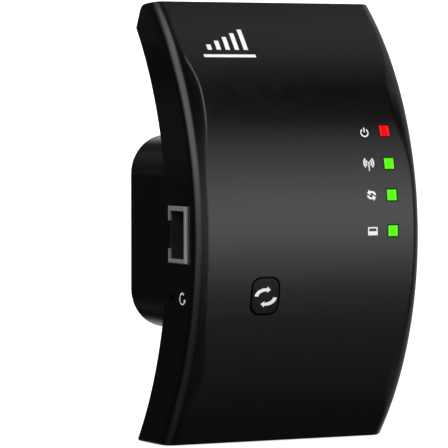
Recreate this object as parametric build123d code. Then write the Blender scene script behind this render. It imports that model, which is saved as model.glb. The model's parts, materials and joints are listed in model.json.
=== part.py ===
from build123d import *
import math
import os

# A plug-in wireless range extender: a curved casing with a plug block on its back.
# Millimetres. The origin is the middle of the plug block's back face, which meets the
# wall socket. +Y points into the socket, +Z is up, and +X is to the right from the front.

# Casing
body_width = 63.0
top_rise = 58.0          # top edge of the front face above the plug's centre line
bottom_drop = 52.0       # bottom face below the plug's centre line
body_thickness = 16.8    # front to back at the crest of the bow
front_radius = 79.3      # bow of the front face
back_radius = 86.1       # bow of the back
bow_z = -0.5             # height of the bow's crest
back_top_drop = 6.5      # from the top edge to where the sloping top meets the back
shoulder_depth = 5.7     # flat strip along the top, front to back
shoulder_drop = 1.0
shoulder_radius = 3.0
side_radius = 3.3        # long rounded edges of the front face
end_radius = 1.0         # edges of the two ends
wall = 2.0
rear_plate = 1.6         # thickness of the arched back
lip_height = 2.0
lip_thickness = 1.0
lip_root = 0.2           # how far the lip is sunk into the arched back
joint_gap = 0.1          # between the lip and the front cover
past = 1.0               # how far a cut runs past what it cuts

# Plug block and pins
plug_depth = 33.1        # from the back of the casing to the socket
plug_width = 51.4
plug_height = 49.3
plug_corner = 10.0
plug_draft = 1.5         # degrees
plug_wall = 2.0
plug_edge = 0.8
pin_spacing = 19.0
pin_radius = 2.0
pin_length = 19.0
sleeve_length = 10.0
sleeve_radius = 1.75
pin_core_radius = 1.3
pin_tail_radius = 0.9
pin_head_radius = 3.0
pin_head_thickness = 1.5
pin_recess_radius = 2.4
pin_recess_depth = 0.4
pin_tail_reach = 1.0     # through the power board
carrier_width = 34.0
carrier_height = 14.0
carrier_radius = 5.0
carrier_thickness = 4.0
carrier_rim = 1.5
carrier_rim_thickness = 1.2
label_width = 30.0
label_height = 10.0
label_thickness = 0.15
label_recess = 0.25
label_drop = 15.0
label_corner = 1.0

# Boards
board_depth = 11.8       # front of the main board behind the front face
board_thickness = 1.2
board_gap = 0.5
power_board_thickness = 1.6
power_board_gap = 4.9    # from the power board to the block's end wall
power_board_clearance = 0.3

# Packages on the front of the main board: X and Z of the middle, width, height, thickness
processor_size = (4, 6, 12, 12, 1.2)
memory_size = (6.5, -8, 18.4, 10.2, 1.2)
flash_size = (-4, -22, 5.2, 5.2, 1.8)
radio_can_size = (0, 26, 16, 11, 2.2)
crystal_size = (6, 16, 5, 3.2, 1.2)
regulator_size = (-1, -29, 6.5, 3.5, 1.6)
inductor_size = (6, -20, 6, 6, 3)
magnetics_size = (7.2, 12.7, 2.3)
magnetics_gap = 3.3      # from the network socket to its transformer
chip_edge = 0.15         # chamfer as a share of a package's thickness
bulk_place = (16.0, -19.0)
bulk_side = 6.6
bulk_base = 1.0
bulk_radius = 3.15
bulk_height = 5.4
can_round = 0.4

# Low-voltage leads from the power board to the main board
dc_header_x = (12.5, 17.5)
dc_header_z = (3.5, 9.5)
dc_header_height = 3.5
dc_header_wall = 0.8
dc_header_floor = 1.0
dc_lead_radius = 0.6
dc_lead_pitch = 2.2
dc_lead_offset = (2.5, 3.0)      # from the header's middle to where the leads start
dc_lead_straight = 8.0
dc_lead_bend = 4.0

# Transformer on the power board
transformer_z = 11.0
bobbin_base = 2.6
bobbin_width = 14.0
bobbin_height = 12.0
bobbin_cheek = 0.8
cheek_x = 5.9
winding_radius = 4.9
winding_half = 5.5
core_thickness = 5.0
core_width = 17.0
core_height = 14.0
core_bar = 2.0
core_leg_height = 4.0
core_leg_width = 16.0
tape_gap = 0.1

# Other parts on the power board: X, Z and sizes
input_can_x = -15.5
input_can_z = (2.5, 12.0)
input_can = (4.0, 14.0)          # radius and height
output_can_x = 14.5
output_can_z = (-7.0, 1.0)
output_can = (3.15, 11.0)
crimp_height = 2.0
crimp_radius = 0.5
crimp_depth = 0.25
standing_can_round = 0.5
choke_place = (-14.5, -8.0)
choke_radius = 3.0
choke_waist = 2.4
choke_height = 8.0
choke_flange = 1.2
resistor_x = (-8.0, 1.0)
resistor_z = -14.5
resistor_radius = 1.75
resistor_height = 2.2
lead_radius = 0.35
lead_bend = 0.8
lead_reach = 1.5         # of a resistor's lead beyond its body
disc_place = (-1.0, -8.0)
disc_radius = 4.0
disc_thickness = 3.0
disc_height = 6.5
disc_lead = (2.5, 4.5)           # half the spacing of its legs, and their length
rectifier_x = (3.5, 10.5)
rectifier_z = (-13.5, -8.0)
rectifier_height = 3.0
controller_x = (5.0, 13.5)
controller_z = (-21.0, -15.5)
controller_height = 3.3
block_edge = 0.5

# Network socket
jack_height = 0.6        # its middle above the centre line
jack_depth = 5.5         # its front side behind the front face
jack_width = 14.0
jack_thickness = 9.6
jack_length = 16.0
jack_stand_out = 0.7     # beyond the side wall
jack_gap = 0.2
jack_sheet = 0.3
jack_rim = 0.9
jack_rim_depth = 0.6
jack_bevel = 0.25
port_width = 11.8
port_height = 7.95
port_depth = 12.8
latch_width = 6.9
latch_length = 9.6
latch_floor = 0.5
latch_slot = 3.0         # in the socket's metal shell
jack_tab = (9.0, 4.0, 2.0)       # where a board tab starts and ends before the back, and its width
contact_count = 8
contact_pitch = 1.02
contact_width = 0.45
contact_thickness = 0.3
contact_drop = 3.0       # of the straight run below the socket's front side
contact_start = 3.84     # from the mouth to a contact's free end
contact_rise = 0.2
contact_tail = 0.6       # from the back of the socket to the tails
contact_slot = 1.0

# Pairing button and its switch
button_inset = 19.0      # from the left side to the button's middle
button_drop = 14.4
button_width = 7.2
button_height = 8.75
button_radius = 2.3
button_gap = 0.45
button_proud = 0.3
button_travel = 0.4
button_skirt = 1.2
button_flange = 0.9
stem_radius = 1.6
switch_side = 6.0
switch_height = 3.5
switch_plunger_radius = 1.7
switch_plunger_rise = 0.8
switch_cover = 0.3
switch_well = 1.6
slide_gap = 0.06

# Reset switch behind its pinhole
reset_drop = 15.0
reset_hole_radius = 0.9
reset_width = 6.0
reset_length = 4.0
reset_thickness = 2.9
reset_plunger_radius = 0.7
reset_plunger_reach = 1.2
reset_wall_gap = 0.8
reset_travel = 0.25

# Status lights
light_inset = 8.6        # from the right side to the middle of the windows
light_rises = {"power": 25.8, "wireless": 17.7, "sync": 9.9, "network": 1.0}
window_side = 3.2
window_gap = 0.05
pipe_flange = 0.6
pipe_flange_thickness = 0.8
led_height = 0.8
led_side = 2.0
led_gap = 0.5
led_lens = 1.4
shroud_wall = 1.2

# Screws
case_screw_inset = 7.5   # from either side of the casing
case_screw_top = 14.5    # below the top edge
case_screw_bottom = 7.5  # above the bottom face
case_screw_radius = 1.25
case_screw_length = 8.0
case_head_radius = 2.3
case_head_height = 1.5
case_boss_radius = 3.2
board_screw_inset = 17.5  # from either side of the casing
board_screw_z = 28.0
board_screw_radius = 1.0
board_screw_length = 5.0
board_head_radius = 1.9
board_head_height = 1.2
board_boss_radius = 2.4
power_screw_inset = 7.9  # from the outside of the plug block
power_screw_length = 5.5
thread_gap = 0.02
thread_room = 0.3        # below a screw's end
hole_gap = 0.2
head_rounding = 0.4      # these four are shares of a screw head's height and radius
cross_depth = 0.6
cross_span = 1.1
cross_width = 0.28

# Vents in the back, above and below the plug block
vent_count = 5
vent_width = 22.0
vent_slot = 1.6
vent_corner = 0.79
vent_start = 5.5         # beyond the plug block
vent_end = 6.6           # short of the nearer end of the casing

# Antennas
antenna_length = 36.0
antenna_height = 8.0
antenna_thickness = 0.8
antenna_gap = 1.0        # from the inside of the face to the upper antenna's upper edge
antenna_rib = 2.0
antenna_rib_x = 14.0
antenna_rib_height = 6.0
top_antenna_inset = 8.5
bottom_antenna_inset = 7.5
top_antenna_depth = 25.0         # behind the crest of the bow
bottom_antenna_depth = 22.0
board_end_room = 2.0             # between the main board and the lower antenna
coax_radius = 0.57
coax_bend = 0.8
antenna_feed = 3.0       # from the strip's middle to its solder point, towards the board
coax_rise = 2.2          # straight run out of the antenna and into the socket
coax_socket_inset = 4.4          # from either end of the main board
coax_socket_x = 6.0
coax_socket_height = 1.4
coax_socket_side = 2.6
coax_socket_radius = 1.1

# Places that follow from those sizes
front_y = -(plug_depth + body_thickness)
front_centre = front_y + front_radius
back_centre = front_y + body_thickness + back_radius
left_x = -body_width / 2
right_x = body_width / 2
inner_left = left_x + wall
board_front = front_y + board_depth
board_back = board_front + board_thickness
board_half_width = body_width / 2 - wall - board_gap
jack_face = left_x - jack_stand_out
jack_back = jack_face + jack_length
jack_front = front_y + jack_depth
button_x = left_x + button_inset
light_x = right_x - light_inset
plug_inner = (plug_width - 2 * plug_wall, plug_height - 2 * plug_wall)
power_board_back = -plug_wall - power_board_gap
power_board_front = power_board_back - power_board_thickness
plunger_top = board_front - switch_height - switch_plunger_rise
contact_y = jack_front + contact_drop
reset_x = inner_left + reset_wall_gap + reset_plunger_reach
reset_y = board_back + reset_thickness / 2
transformer_y = power_board_front - bobbin_base - winding_radius
board_screw_x = body_width / 2 - board_screw_inset
case_screw_x = body_width / 2 - case_screw_inset
antenna_reach = front_radius - top_antenna_depth + antenna_gap
antenna_room = bow_z + math.sqrt((front_radius - wall) ** 2 - antenna_reach ** 2)
top_antenna_z = min(top_rise - top_antenna_inset, antenna_room - antenna_height / 2)
top_antenna = (top_antenna_z, top_antenna_depth)
bottom_antenna = (bottom_antenna_inset - bottom_drop, bottom_antenna_depth)


def front_surface(z, inset=0.0):
    """Y of the front face, or of a surface the given distance inside it."""
    return front_centre - math.sqrt((front_radius - inset) ** 2 - (z - bow_z) ** 2)


def back_surface(z, inset=0.0):
    """Y of the arched back, or of a surface the given distance inside it."""
    return back_centre - math.sqrt((back_radius + inset) ** 2 - (z - bow_z) ** 2)


def bar(x, y, z):
    """A box between two X values, two Y values and two Z values."""
    middle = [(low + high) / 2 for low, high in (x, y, z)]
    size = [abs(high - low) for low, high in (x, y, z)]
    return Pos(*middle) * Box(*size)


def around(middle, size):
    """The low and high value of a span about its middle."""
    return (middle - size / 2, middle + size / 2)


def rod_y(x, z, radius, start, end):
    """A cylinder along Y."""
    return Pos(x, (start + end) / 2, z) * Rot(90, 0, 0) * Cylinder(radius, abs(end - start))


def rod_x(y, z, radius, start, end):
    """A cylinder along X."""
    return Pos((start + end) / 2, y, z) * Rot(0, 90, 0) * Cylinder(radius, abs(end - start))


def arch(inset):
    """The cylinder that the back bows round, grown by the inset."""
    return rod_x(back_centre, bow_z, back_radius + inset, -body_width, body_width)


def rounded_y(x, z, width, height, radius, start, end):
    """A prism along Y with a rounded rectangle as its section."""
    face = Plane((x, start, z), x_dir=(1, 0, 0), z_dir=(0, 1, 0)) * RectangleRounded(
        width, height, radius
    )
    return extrude(face, end - start)


def tube_along(points, radius, bend):
    """A round wire of straight runs joined by tangent arcs."""
    path = FilletPolyline(*points, radius=bend)
    section = Plane(path @ 0, z_dir=path % 0) * Circle(radius)
    return sweep(section, path)


def mirrored_places(x, z):
    """The four corners of a rectangle about the centre line."""
    return [(side * x, end * z) for side in (-1, 1) for end in (-1, 1)]


def save(solid, name):
    """Write one sub-part under its node name."""
    solid.label = name
    export_step(solid, os.path.join("parts", name + ".step"))


# Casing shapes


def casing_block(inset):
    """The casing's outline from the side, drawn past its back and shrunk by the inset."""
    bottom = (front_surface(-bottom_drop), -bottom_drop)
    top = (front_surface(top_rise), top_rise)
    shoulder = (top[0] + shoulder_depth, top_rise - shoulder_drop)
    back_top = (back_surface(top_rise - back_top_drop), top_rise - back_top_drop)
    below = (2 * back_top[0] - shoulder[0], 2 * back_top[1] - shoulder[1])
    curve = ThreePointArc(bottom, (front_y, bow_z), top)
    edges = Polyline(top, shoulder, back_top, below, (below[0], -bottom_drop), bottom)
    face = make_face(curve + edges)
    crest = face.vertices().sort_by_distance((shoulder[0], shoulder[1], 0))[0]
    face = fillet(crest, shoulder_radius)
    if inset:
        face = offset(face, -inset, kind=Kind.INTERSECTION)
    half = body_width / 2 - inset
    return extrude(Plane.YZ * face, half, both=True)


def outer_form():
    """The closed casing with its rounded edges, without the plug block."""
    block = casing_block(0)
    long_edges = [
        edge
        for edge in block.edges().filter_by(GeomType.CIRCLE)
        if abs(edge.radius - front_radius) < 0.01
    ]
    block = fillet(long_edges, side_radius)
    bottom_face = block.faces().sort_by(Axis.Z)[0]
    block = fillet(bottom_face.edges().filter_by(lambda e: e.center().Y < -plug_wall), end_radius)
    return block - arch(0)


def plug_block():
    """The outside of the plug block, widening a little towards the casing."""
    face = Plane((0, 0, 0), x_dir=(1, 0, 0), z_dir=(0, -1, 0)) * RectangleRounded(
        plug_width, plug_height, plug_corner
    )
    block = extrude(face, plug_depth + body_thickness, taper=-plug_draft)
    return fillet(block.faces().sort_by(Axis.Y)[-1].edges(), plug_edge)


def plug_cavity():
    """The space inside the plug block, open to the casing."""
    corner = plug_corner - plug_wall
    return rounded_y(0, 0, plug_inner[0], plug_inner[1], corner, front_y + wall, -plug_wall)


def jack_notch():
    """The opening in the left wall for the network socket."""
    x = (left_x - wall, inner_left + wall)
    y = (jack_front - jack_gap, front_y + body_thickness + wall)
    z = around(jack_height, jack_width + 2 * jack_gap)
    return bar(x, y, z)


def lip():
    """The rim of the rear cover that locates inside the front cover."""
    outside = casing_block(wall + joint_gap)
    inside = casing_block(wall + joint_gap + lip_thickness)
    ring = (outside - inside) & arch(rear_plate + lip_height)
    ring = ring - arch(rear_plate - lip_root)
    jack_room = bar(
        (left_x, 0),
        (front_y, 0),
        around(jack_height, jack_width + 4 * wall),
    )
    reset_room = bar((left_x, 0), (front_y, 0), around(-reset_drop, reset_width + 2 * wall))
    return ring - jack_room - reset_room


def vent_slots():
    """Rows of ventilation slots above and below the plug block."""
    slots = []
    start = plug_height / 2 + vent_start
    pitch = (min(top_rise, bottom_drop) - vent_end - start) / (vent_count - 1)
    for end in (-1, 1):
        for row in range(vent_count):
            z = end * (start + row * pitch)
            slots.append(rounded_y(0, z, vent_width, vent_slot, vent_corner, front_y + wall, 0))
    return slots


def case_screw_places():
    """X and Z of the four case screws."""
    heights = (case_screw_bottom - bottom_drop, top_rise - case_screw_top)
    return [(side * case_screw_x, z) for side in (-1, 1) for z in heights]


def case_seat(z):
    """Y of the plane that a case screw's head bears on."""
    return back_surface(z, rear_plate) - case_head_height / 2


def case_joint(z):
    """Y where a post of the rear cover meets a boss of the front cover."""
    return case_seat(z) - rear_plate


def front_cover():
    """The deep front shell with its windows, button hole, socket notch and bosses."""
    form = outer_form()
    shell = form - arch(rear_plate)
    shell = shell - casing_block(wall)
    inside = casing_block(wall / 2)
    for x, z in case_screw_places():
        boss = rod_y(x, z, case_boss_radius, front_y, case_joint(z))
        shell = shell + (boss & inside)
    for x, z in mirrored_places(board_screw_x, board_screw_z):
        boss = rod_y(x, z, board_boss_radius, front_y, board_front)
        shell = shell + (boss & inside)
    for z, depth in (top_antenna, bottom_antenna):
        for side in (-1, 1):
            x = around(side * antenna_rib_x, antenna_rib)
            rib = bar(x, (front_y, front_y + depth), around(z, antenna_rib_height))
            shell = shell + (rib & inside)
    for x, z in case_screw_places():
        radius = case_screw_radius + thread_gap
        start = case_seat(z) - case_screw_length - thread_room
        shell = shell - rod_y(x, z, radius, start, case_joint(z) + past)
    for x, z in mirrored_places(board_screw_x, board_screw_z):
        radius = board_screw_radius + thread_gap
        start = board_back - board_screw_length - thread_room
        shell = shell - rod_y(x, z, radius, start, board_front + past)
    for z in light_rises.values():
        side = window_side + 2 * window_gap
        shell = shell - bar(around(light_x, side), (front_y - past, board_front), around(z, side))
    shell = shell - button_prism(button_gap, front_y - past, board_front)
    shell = shell - rod_x(reset_y, -reset_drop, reset_hole_radius, left_x - past, inner_left + past)
    return shell - jack_notch()


def rear_cover():
    """The arched back, the plug block, the lip, the screw posts and the vents."""
    form = outer_form()
    cover = form & arch(rear_plate)
    cover = cover + (plug_block() & arch(rear_plate)) + lip()
    for x, z in case_screw_places():
        post = rod_y(x, z, case_boss_radius, case_joint(z), 0)
        cover = cover + (post & form)
    cover = cover - plug_cavity()
    for x, z in power_post_places():
        cover = cover + rod_y(x, z, board_boss_radius, power_board_back, -plug_wall)
    for x, z in case_screw_places():
        cover = cover - rod_y(x, z, case_screw_radius + hole_gap, case_joint(z) - past, 0)
        cover = cover - rod_y(x, z, case_head_radius + hole_gap, case_seat(z), 0)
    for x, z in power_screw_places():
        radius = board_screw_radius + thread_gap
        end = power_board_front + power_screw_length + thread_room
        cover = cover - rod_y(x, z, radius, power_board_back - past, end)
    for slot in vent_slots():
        cover = cover - slot
    cover = cover - rounded_y(
        0, 0, carrier_width, carrier_height, carrier_radius, -2 * plug_wall, plug_wall
    )
    return cover - rounded_y(
        0,
        -label_drop,
        label_width + joint_gap,
        label_height + joint_gap,
        label_corner,
        -label_recess,
        past,
    )


# Plug


def pin_carrier():
    """The insulating plate that holds the two pins, set in the block's end wall."""
    body = rounded_y(
        0,
        0,
        carrier_width - 2 * joint_gap,
        carrier_height - 2 * joint_gap,
        carrier_radius - joint_gap,
        -carrier_thickness,
        0,
    )
    rim = rounded_y(
        0,
        0,
        carrier_width + 2 * carrier_rim,
        carrier_height + 2 * carrier_rim,
        carrier_radius + carrier_rim,
        -plug_wall - carrier_rim_thickness,
        -plug_wall,
    )
    carrier = body + rim
    for side in (-1, 1):
        x = side * pin_spacing / 2
        carrier = carrier - rod_y(x, 0, pin_core_radius, -carrier_thickness - past, past)
        carrier = carrier - rod_y(x, 0, pin_recess_radius, -pin_recess_depth, past)
    return carrier


def plug_pin(side):
    """A round pin with its bare tip, its thinner core, its head and its solder tail."""
    x = side * pin_spacing / 2
    tip = rod_y(x, 0, pin_radius, sleeve_length, pin_length)
    tip = fillet(tip.edges().sort_by(Axis.Y)[-1], pin_radius / 2)
    core = rod_y(x, 0, pin_core_radius, -carrier_thickness, sleeve_length)
    head = rod_y(x, 0, pin_head_radius, -carrier_thickness - pin_head_thickness, -carrier_thickness)
    tail = rod_y(x, 0, pin_tail_radius, power_board_front - pin_tail_reach, -carrier_thickness)
    return tip + core + head + tail


def pin_sleeve(side):
    """The insulating sleeve round the root of a pin."""
    x = side * pin_spacing / 2
    return rod_y(x, 0, sleeve_radius, -pin_recess_depth, sleeve_length) - rod_y(
        x, 0, pin_core_radius, -past, sleeve_length + past
    )


def rating_label():
    """A plain sticker in its shallow recess below the pins."""
    return rounded_y(
        0,
        -label_drop,
        label_width,
        label_height,
        label_corner,
        -label_recess,
        label_thickness - label_recess,
    )


# Screws


def pan_screw(x, z, seat, radius, length, head_radius, head_height, way):
    """A pan-head screw along Y with a cross recess. Its head lies on the side named by way."""
    shank = rod_y(x, z, radius, seat - way * length, seat)
    head = rod_y(x, z, head_radius, seat, seat + way * head_height)
    top = head.faces().sort_by(Axis.Y)[-1 if way > 0 else 0]
    head = fillet(top.edges(), head_height * head_rounding)
    span = head_radius * cross_span
    groove = head_radius * cross_width
    recess = (seat + way * head_height * (1 - cross_depth), seat + way * (head_height + past))
    level = bar(around(x, span), recess, around(z, groove))
    upright = bar(around(x, groove), recess, around(z, span))
    return shank + head - level - upright


def case_screws():
    """The four screws that hold the rear cover on the front cover."""
    return [
        pan_screw(
            x,
            z,
            case_seat(z),
            case_screw_radius,
            case_screw_length,
            case_head_radius,
            case_head_height,
            1,
        )
        for x, z in case_screw_places()
    ]


def board_screws():
    """The four screws that hold the main board on the front cover."""
    return [
        pan_screw(
            x,
            z,
            board_back,
            board_screw_radius,
            board_screw_length,
            board_head_radius,
            board_head_height,
            1,
        )
        for x, z in mirrored_places(board_screw_x, board_screw_z)
    ]


def power_post_places():
    """The four posts that the power board rests on."""
    return mirrored_places(plug_width / 2 - power_screw_inset, plug_height / 2 - power_screw_inset)


def power_screw_places():
    """The two opposite posts that take screws."""
    return [power_post_places()[0], power_post_places()[-1]]


def power_screws():
    """The two screws that hold the power board in the plug block."""
    return [
        pan_screw(
            x,
            z,
            power_board_front,
            board_screw_radius,
            power_screw_length,
            board_head_radius,
            board_head_height,
            -1,
        )
        for x, z in power_screw_places()
    ]


# Main board


def board_half_height():
    """Half the main board's height: what the bowed front or the lower antenna leaves room for."""
    reach = front_centre - (board_front - board_gap)
    bow_room = math.sqrt((front_radius - wall) ** 2 - reach ** 2) + bow_z
    end_room = -bottom_antenna[0] - antenna_height / 2 - board_end_room
    return min(bow_room, end_room)


def main_board():
    """The flat main board, cut away round the sunk network socket."""
    half = board_half_height()
    board = bar((-board_half_width, board_half_width), (board_front, board_back), (-half, half))
    x = (-body_width, jack_back + jack_sheet)
    z = around(jack_height, jack_width + 2 * jack_sheet)
    board = board - bar(x, (board_front - past, board_back + past), z)
    for x, z in mirrored_places(board_screw_x, board_screw_z):
        radius = board_screw_radius + hole_gap
        board = board - rod_y(x, z, radius, board_front - past, board_back + past)
    return board


def chip(x, z, width, height, thickness):
    """A flat package on the front of the main board."""
    body = bar(around(x, width), (board_front - thickness, board_front), around(z, height))
    top = body.faces().sort_by(Axis.Y)[0]
    return chamfer(top.edges(), thickness * chip_edge)


def bulk_capacitor():
    """A can capacitor on the front of the main board."""
    x, z = bulk_place
    foot = board_front - bulk_base
    base = bar(around(x, bulk_side), (foot, board_front), around(z, bulk_side))
    can = rod_y(x, z, bulk_radius, board_front - bulk_height, foot)
    return base + fillet(can.edges().sort_by(Axis.Y)[0], can_round)


def dc_header():
    """The two-way connector on the back of the main board."""
    end = board_back + dc_header_height
    shell = bar(dc_header_x, (board_back, end), dc_header_z)
    pocket = bar(
        (dc_header_x[0] + dc_header_wall, dc_header_x[1] - dc_header_wall),
        (board_back + dc_header_floor, end + past),
        (dc_header_z[0] + dc_header_wall, dc_header_z[1] - dc_header_wall),
    )
    return shell - pocket


def dc_leads():
    """The two wires from the power board to the main board."""
    leads = []
    middle_x = sum(dc_header_x) / 2
    middle_z = sum(dc_header_z) / 2
    for side in (-1, 1):
        z = middle_z + side * dc_lead_pitch / 2
        far_x, far_z = middle_x + dc_lead_offset[0], z + dc_lead_offset[1]
        points = [
            (far_x, power_board_front, far_z),
            (far_x, power_board_front - dc_lead_straight, far_z),
            (middle_x, board_back + dc_lead_straight, z),
            (middle_x, board_back + dc_header_floor, z),
        ]
        leads.append(tube_along(points, dc_lead_radius, dc_lead_bend))
    return leads


# Network socket


def jack_box(inset, start, end):
    """A block along the socket, shrunk all round by the inset."""
    y = (jack_front + inset, jack_front + jack_thickness - inset)
    return bar((start, end), y, around(jack_height, jack_width - 2 * inset))


def port_space(start, end):
    """The space that a network plug enters."""
    y = (jack_front + jack_rim, jack_front + jack_rim + port_height)
    return bar((start, end), y, around(jack_height, port_width))


def latch_space(start, end, floor):
    """The channel for the plug's latch, open to the given depth."""
    y = (jack_front + jack_rim, jack_front + jack_thickness - floor)
    return bar((start, end), y, around(jack_height, latch_width))


def contact_rows():
    """The height of each contact wire."""
    first = jack_height - contact_pitch * (contact_count - 1) / 2
    return [first + row * contact_pitch for row in range(contact_count)]


def rj45_housing():
    """The black moulding inside the network socket."""
    housing = jack_box(jack_sheet, jack_face + jack_rim_depth, jack_back)
    housing = housing - port_space(jack_face - past, jack_face + port_depth)
    housing = housing - latch_space(jack_face - past, jack_face + latch_length, latch_floor)
    for z in contact_rows():
        x = (jack_face + port_depth - contact_slot, jack_back + past)
        y = (contact_y - thread_gap, contact_y + contact_thickness + thread_gap)
        housing = housing - bar(x, y, around(z, contact_width + 2 * thread_gap))
    return housing


def rj45_shield():
    """The folded metal shell of the socket with its rim at the wall and its two tabs."""
    shell = jack_box(0, jack_face, jack_back)
    edge = shell.faces().sort_by(Axis.X)[0].edges()
    shell = chamfer(edge, jack_bevel)
    shell = shell - jack_box(jack_sheet, jack_face + jack_rim_depth, jack_back + past)
    shell = shell - port_space(jack_face - past, jack_back)
    shell = shell - latch_space(jack_face - past, jack_face + latch_slot, -past)
    start, end, width = jack_tab
    for side in (-1, 1):
        z = jack_height + side * (jack_width + width) / 2
        sheet = (board_front - jack_sheet, board_front)
        shell = shell + bar((jack_back - start, jack_back - end), sheet, around(z, width))
    return shell


def rj45_contacts():
    """Eight contact wires, each a sloping finger, a straight run and a tail to the board."""
    mouth = jack_face + contact_start
    end = jack_face + port_depth
    tail = jack_back + contact_tail
    high = jack_front + jack_rim + contact_rise
    low = contact_y + contact_thickness
    outline = [
        (mouth, high),
        (mouth, high + contact_thickness),
        (end, low),
        (tail, low),
        (tail, board_front),
        (tail + contact_thickness, board_front),
        (tail + contact_thickness, contact_y),
        (end, contact_y),
    ]
    face = make_face(Polyline(*outline, close=True))
    wires = []
    for z in contact_rows():
        wires.append(Pos(0, 0, z - contact_width / 2) * extrude(face, contact_width))
    return wires


# Pairing button


def button_prism(grow, start, end):
    """The button's rounded outline as a prism along Y."""
    return rounded_y(
        button_x,
        -button_drop,
        button_width + 2 * grow,
        button_height + 2 * grow,
        button_radius + grow,
        start,
        end,
    )


def pairing_button():
    """The button cap with its retaining flange and its stem."""
    edge = button_drop + button_height / 2 + button_flange
    back = front_surface(edge, wall) + button_skirt
    cap = button_prism(0, front_y - past, back) & casing_block(-button_proud)
    cap = fillet(cap.faces().sort_by(Axis.Y)[0].edges(), button_proud)
    flange = button_prism(button_flange, front_y, back) & casing_block(wall + joint_gap)
    stem = rod_y(button_x, -button_drop, stem_radius, back - button_skirt / 2, plunger_top)
    return cap + flange + stem


def pairing_switch_body():
    """The switch moulding on the main board, with the well that its plunger slides in."""
    top = board_front - switch_height + switch_cover
    side = around(button_x, switch_side)
    body = bar(side, (top, board_front), around(-button_drop, switch_side))
    well = switch_plunger_radius + slide_gap
    return body - rod_y(button_x, -button_drop, well, top - past, top + switch_well)


def pairing_switch_cover():
    """The thin metal plate over the switch, with a hole for the plunger."""
    top = board_front - switch_height
    side = around(button_x, switch_side)
    plate = bar(side, (top, top + switch_cover), around(-button_drop, switch_side))
    well = switch_plunger_radius + slide_gap
    return plate - rod_y(button_x, -button_drop, well, top - past, top + past)


def pairing_switch_plunger():
    """The round plunger that the button's stem pushes."""
    end = board_front - switch_height + switch_cover + switch_well - button_travel - joint_gap
    return rod_y(button_x, -button_drop, switch_plunger_radius, plunger_top, end)


# Reset switch


def reset_switch_body():
    """The side-facing switch on the back of the main board."""
    x = (reset_x, reset_x + reset_length)
    body = bar(x, (board_back, board_back + reset_thickness), around(-reset_drop, reset_width))
    well = reset_plunger_radius + slide_gap
    return body - rod_x(reset_y, -reset_drop, well, reset_x - past, reset_x + reset_length / 2)


def reset_switch_plunger():
    """The small plunger that a pin pushes through the hole in the casing."""
    end = reset_x + reset_length / 2 - reset_travel - joint_gap
    return rod_x(reset_y, -reset_drop, reset_plunger_radius, reset_x - reset_plunger_reach, end)


# Status lights


def flange_back(z):
    """Y of the back of a light pipe's flange."""
    return front_surface(z + window_side / 2, wall) + pipe_flange_thickness


def light_pipe(z):
    """A clear pipe from a window in the front cover to its lamp."""
    end = board_front - led_height - led_gap
    side = window_side
    rod = bar(around(light_x, side), (front_y - past, end), around(z, side)) & casing_block(0)
    side = window_side + 2 * pipe_flange
    flange = bar(around(light_x, side), (front_y, flange_back(z)), around(z, side))
    return rod + (flange & casing_block(wall))


def light_shroud():
    """The opaque block that keeps the light of each lamp in its own pipe."""
    width = window_side + 2 * (pipe_flange + window_gap + shroud_wall)
    low = min(light_rises.values()) - width / 2
    high = max(light_rises.values()) + width / 2
    block = bar(around(light_x, width), (front_y, board_front), (low, high)) & casing_block(wall)
    for z in light_rises.values():
        side = window_side + 2 * (pipe_flange + window_gap)
        block = block - bar(around(light_x, side), (front_y, flange_back(z)), around(z, side))
        side = window_side + 2 * window_gap
        block = block - bar(around(light_x, side), (front_y, board_front + past), around(z, side))
    return block


def status_led(z):
    """A small lamp on the front of the main board."""
    base = bar(
        around(light_x, led_side), (board_front - led_height / 2, board_front), around(z, led_side)
    )
    lens = bar(
        around(light_x, led_lens),
        (board_front - led_height, board_front - led_height / 2),
        around(z, led_lens),
    )
    return base + lens


# Antennas


def antenna(place):
    """A flat antenna strip against two ribs of the front cover."""
    z, depth = place
    y = (front_y + depth, front_y + depth + antenna_thickness)
    return bar(around(0, antenna_length), y, around(z, antenna_height))


def antenna_lead(place, x):
    """The thin coaxial wire from an antenna to its socket on the main board."""
    z, depth = place
    way = math.copysign(1, z)
    inner_z = z - way * antenna_feed
    socket_z = board_half_height() - coax_socket_inset
    start = front_y + depth + antenna_thickness
    end = board_back + coax_socket_height
    points = [
        (x, start, inner_z),
        (x, start + coax_rise, inner_z),
        (x, end + coax_rise, way * socket_z),
        (x, end, way * socket_z),
    ]
    return tube_along(points, coax_radius, coax_bend)


def coax_sockets():
    """The two antenna sockets on the back of the main board."""
    sockets = []
    socket_z = board_half_height() - coax_socket_inset
    for way in (-1, 1):
        x, z = -way * coax_socket_x, way * socket_z
        middle = board_back + coax_socket_height / 2
        base = bar(around(x, coax_socket_side), (board_back, middle), around(z, coax_socket_side))
        top = rod_y(x, z, coax_socket_radius, middle, board_back + coax_socket_height)
        sockets.append(base + top)
    return sockets


# Power supply in the plug block


def power_board():
    """The power board, shaped to the plug block's inside."""
    width, height = [side - 2 * power_board_clearance for side in plug_inner]
    corner = plug_corner - plug_wall - power_board_clearance
    board = rounded_y(0, 0, width, height, corner, power_board_front, power_board_back)
    for x, z in power_screw_places():
        radius = board_screw_radius + hole_gap
        board = board - rod_y(x, z, radius, power_board_front - past, power_board_back + past)
    for side in (-1, 1):
        radius = pin_tail_radius + joint_gap
        x = side * pin_spacing / 2
        board = board - rod_y(x, 0, radius, power_board_front - past, power_board_back + past)
    return board


def standing_can(x, z, size):
    """A can capacitor standing on the power board, with its crimp groove."""
    radius, height = size
    can = rod_y(x, z, radius, power_board_front - height, power_board_front)
    can = fillet(can.faces().sort_by(Axis.Y)[0].edges(), standing_can_round)
    place = Pos(x, power_board_front - crimp_height, z) * Rot(90, 0, 0)
    return can - place * Torus(radius + crimp_depth, crimp_radius)


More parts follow.
